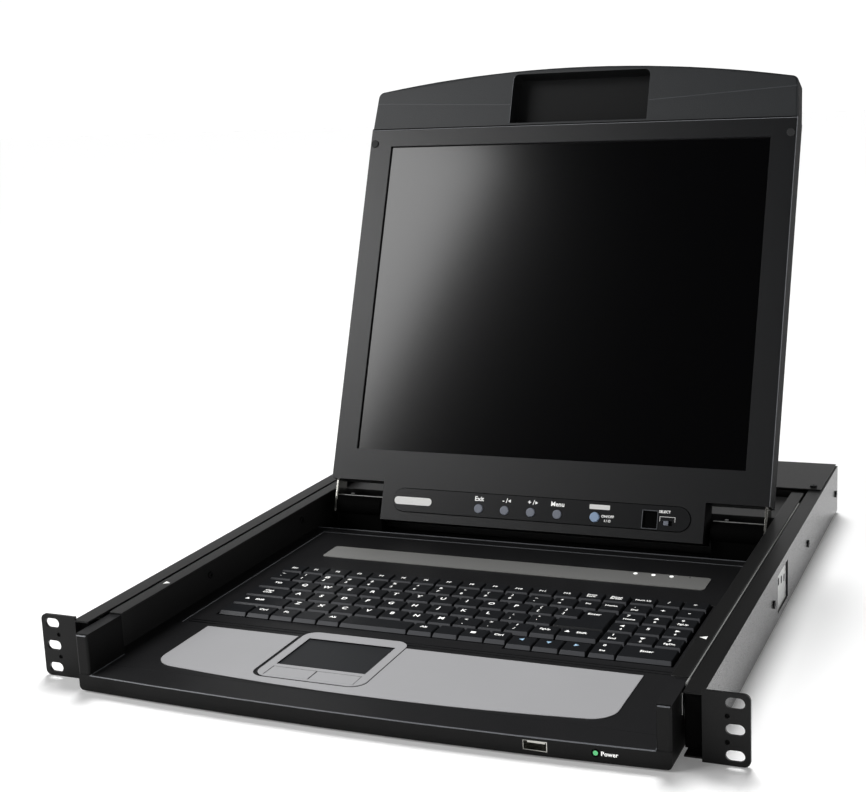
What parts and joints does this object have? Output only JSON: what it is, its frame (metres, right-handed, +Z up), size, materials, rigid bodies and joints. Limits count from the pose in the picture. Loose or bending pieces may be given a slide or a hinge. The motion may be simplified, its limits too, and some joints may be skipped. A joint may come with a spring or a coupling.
{
  "type": "rackmount lcd console drawer",
  "caption": "Rack console drawer: a folding flat screen and a keyboard with touchpad on a sliding tray in a one-unit rack frame.",
  "frame": {"origin": "centre of the rack screw pattern, on the front face of the two rack ears", "axes": "+X to the right, +Y to the rear of the rack, +Z up"},
  "size_m": [0.4826, 0.5495, 0.393],
  "materials": {
    "black_steel": "black textured powder coat",
    "zinc_steel": "bright zinc plate",
    "hinge_steel": "nickel plate",
    "black_screws": "black oxide",
    "case_plastic": "fine textured ABS",
    "grip_plastic": "fine textured ABS",
    "silver_trim": "satin silver",
    "grey_trim": "satin grey",
    "pad_film": "matte film",
    "key_plastic": "moulded ABS",
    "display_film": "anti-glare film",
    "button_plastic": "semi-gloss",
    "power_plastic": "semi-gloss",
    "lamp_clear": "clear lamp",
    "lamp_green": "green lamp",
    "socket_shell": "nickel plate",
    "socket_plastic": "black nylon",
    "bumper_rubber": "soft rubber",
    "circuit_board": "solder mask"
  },
  "bodies": {
    "chassis": {"side_rail_left": "black_steel", "side_rail_right": "black_steel", "slide_outer_left": "zinc_steel", "slide_outer_right": "zinc_steel", "rear_housing": "black_steel", "rear_housing_cover": "black_steel", "frame_screws": "black_screws", "power_inlet": "socket_plastic", "power_switch_frame": "socket_plastic", "rear_ports": "socket_shell", "switch_board": "circuit_board"},
    "power_rocker": {"power_switch": "socket_plastic"},
    "slide_middles": {"slide_middle_left": "zinc_steel", "slide_middle_right": "zinc_steel"},
    "drawer": {"slide_inner_left": "zinc_steel", "slide_inner_right": "zinc_steel", "hinge_base_left": "hinge_steel", "hinge_base_right": "hinge_steel", "drawer_tray": "black_steel", "front_panel": "case_plastic", "keyboard_deck": "case_plastic", "palm_rest_plate": "silver_trim", "drawer_rear_cover": "black_steel", "usb_socket": "socket_shell", "power_lamp": "lamp_green", "tray_screws": "black_screws", "touchpad_frame": "silver_trim", "touchpad_surface": "pad_film", "indicator_plate": "grey_trim", "indicator_lamps": "lamp_clear", "keyboard_base": "key_plastic"},
    "screen": {"screen_bezel": "case_plastic", "screen_rear_cover": "case_plastic", "display_panel": "display_film", "screen_handle": "grip_plastic", "control_strip": "case_plastic", "hinge_pins": "hinge_steel", "screen_bumpers": "bumper_rubber", "service_port": "socket_plastic", "control_board": "circuit_board", "hinge_arm_left": "hinge_steel", "hinge_arm_right": "hinge_steel"},
    "keys_function": {"keys_function": "key_plastic"},
    "keys_number": {"keys_number": "key_plastic"},
    "keys_upper": {"keys_upper": "key_plastic"},
    "keys_home": {"keys_home": "key_plastic"},
    "keys_lower": {"keys_lower": "key_plastic"},
    "keys_bottom": {"keys_bottom": "key_plastic"},
    "key_space": {"key_space": "key_plastic"},
    "keys_arrow": {"keys_arrow": "key_plastic"},
    "keys_number_pad": {"keys_number_pad": "key_plastic"},
    "key_enter": {"key_enter": "key_plastic"},
    "touchpad_button_left": {"touchpad_button_left": "silver_trim"},
    "touchpad_button_right": {"touchpad_button_right": "silver_trim"},
    "menu_button_1": {"menu_button_1": "button_plastic"},
    "menu_button_2": {"menu_button_2": "button_plastic"},
    "menu_button_3": {"menu_button_3": "button_plastic"},
    "menu_button_4": {"menu_button_4": "button_plastic"},
    "power_button": {"power_button": "power_plastic"},
    "mode_slider": {"mode_switch": "socket_plastic"}
  },
  "joints": [
    {"name": "drawer_slide", "type": "slide", "parent": "chassis", "child": "drawer", "axis": [0, -1, 0], "range_m": [0, 0.4]},
    {"name": "slide_middle_travel", "type": "slide", "parent": "chassis", "child": "slide_middles", "axis": [0, -1, 0], "range_m": [0, 0.2]},
    {"name": "screen_hinge", "type": "hinge", "parent": "drawer", "child": "screen", "pos_m": [0, 0.3444, 0.007], "axis": [1, 0, 0], "range_deg": [-8, 112.2]},
    {"name": "power_switch_rock", "type": "hinge", "parent": "chassis", "child": "power_rocker", "pos_m": [0.118, 0.5175, 0], "axis": [1, 0, 0], "range_deg": [0, 10]},
    {"name": "keys_function_press", "type": "slide", "parent": "drawer", "child": "keys_function", "axis": [0, 0, -1], "range_m": [0, 0.0022], "stiffness_N_per_m": 600, "springref_m": -0.0012},
    {"name": "keys_number_press", "type": "slide", "parent": "drawer", "child": "keys_number", "axis": [0, 0, -1], "range_m": [0, 0.0022], "stiffness_N_per_m": 600, "springref_m": -0.0012},
    {"name": "keys_upper_press", "type": "slide", "parent": "drawer", "child": "keys_upper", "axis": [0, 0, -1], "range_m": [0, 0.0022], "stiffness_N_per_m": 600, "springref_m": -0.0012},
    {"name": "keys_home_press", "type": "slide", "parent": "drawer", "child": "keys_home", "axis": [0, 0, -1], "range_m": [0, 0.0022], "stiffness_N_per_m": 600, "springref_m": -0.0012},
    {"name": "keys_lower_press", "type": "slide", "parent": "drawer", "child": "keys_lower", "axis": [0, 0, -1], "range_m": [0, 0.0022], "stiffness_N_per_m": 600, "springref_m": -0.0012},
    {"name": "keys_bottom_press", "type": "slide", "parent": "drawer", "child": "keys_bottom", "axis": [0, 0, -1], "range_m": [0, 0.0022], "stiffness_N_per_m": 600, "springref_m": -0.0012},
    {"name": "key_space_press", "type": "slide", "parent": "drawer", "child": "key_space", "axis": [0, 0, -1], "range_m": [0, 0.0022], "stiffness_N_per_m": 600, "springref_m": -0.0012},
    {"name": "keys_arrow_press", "type": "slide", "parent": "drawer", "child": "keys_arrow", "axis": [0, 0, -1], "range_m": [0, 0.0022], "stiffness_N_per_m": 600, "springref_m": -0.0012},
    {"name": "keys_number_pad_press", "type": "slide", "parent": "drawer", "child": "keys_number_pad", "axis": [0, 0, -1], "range_m": [0, 0.0022], "stiffness_N_per_m": 600, "springref_m": -0.0012},
    {"name": "key_enter_press", "type": "slide", "parent": "drawer", "child": "key_enter", "axis": [0, 0, -1], "range_m": [0, 0.0022], "stiffness_N_per_m": 600, "springref_m": -0.0012},
    {"name": "touchpad_button_left_press", "type": "slide", "parent": "drawer", "child": "touchpad_button_left", "axis": [0, 0, -1], "range_m": [0, 0.0006], "stiffness_N_per_m": 800, "springref_m": -0.0005},
    {"name": "touchpad_button_right_press", "type": "slide", "parent": "drawer", "child": "touchpad_button_right", "axis": [0, 0, -1], "range_m": [0, 0.0006], "stiffness_N_per_m": 800, "springref_m": -0.0005},
    {"name": "menu_button_1_press", "type": "slide", "parent": "screen", "child": "menu_button_1", "axis": [0, 0.9257, -0.3783], "range_m": [0, 0.0005], "stiffness_N_per_m": 800, "springref_m": -0.0005},
    {"name": "menu_button_2_press", "type": "slide", "parent": "screen", "child": "menu_button_2", "axis": [0, 0.9257, -0.3783], "range_m": [0, 0.0005], "stiffness_N_per_m": 800, "springref_m": -0.0005},
    {"name": "menu_button_3_press", "type": "slide", "parent": "screen", "child": "menu_button_3", "axis": [0, 0.9257, -0.3783], "range_m": [0, 0.0005], "stiffness_N_per_m": 800, "springref_m": -0.0005},
    {"name": "menu_button_4_press", "type": "slide", "parent": "screen", "child": "menu_button_4", "axis": [0, 0.9257, -0.3783], "range_m": [0, 0.0005], "stiffness_N_per_m": 800, "springref_m": -0.0005},
    {"name": "power_button_press", "type": "slide", "parent": "screen", "child": "power_button", "axis": [0, 0.9257, -0.3783], "range_m": [0, 0.0005], "stiffness_N_per_m": 800, "springref_m": -0.0005},
    {"name": "mode_switch_slide", "type": "slide", "parent": "screen", "child": "mode_slider", "axis": [1, 0, 0], "range_m": [0, 0.002]}
  ],
  "couplings": [
    {"joint": "slide_middle_travel", "follows": "drawer_slide", "ratio": 0.5}
  ]
}
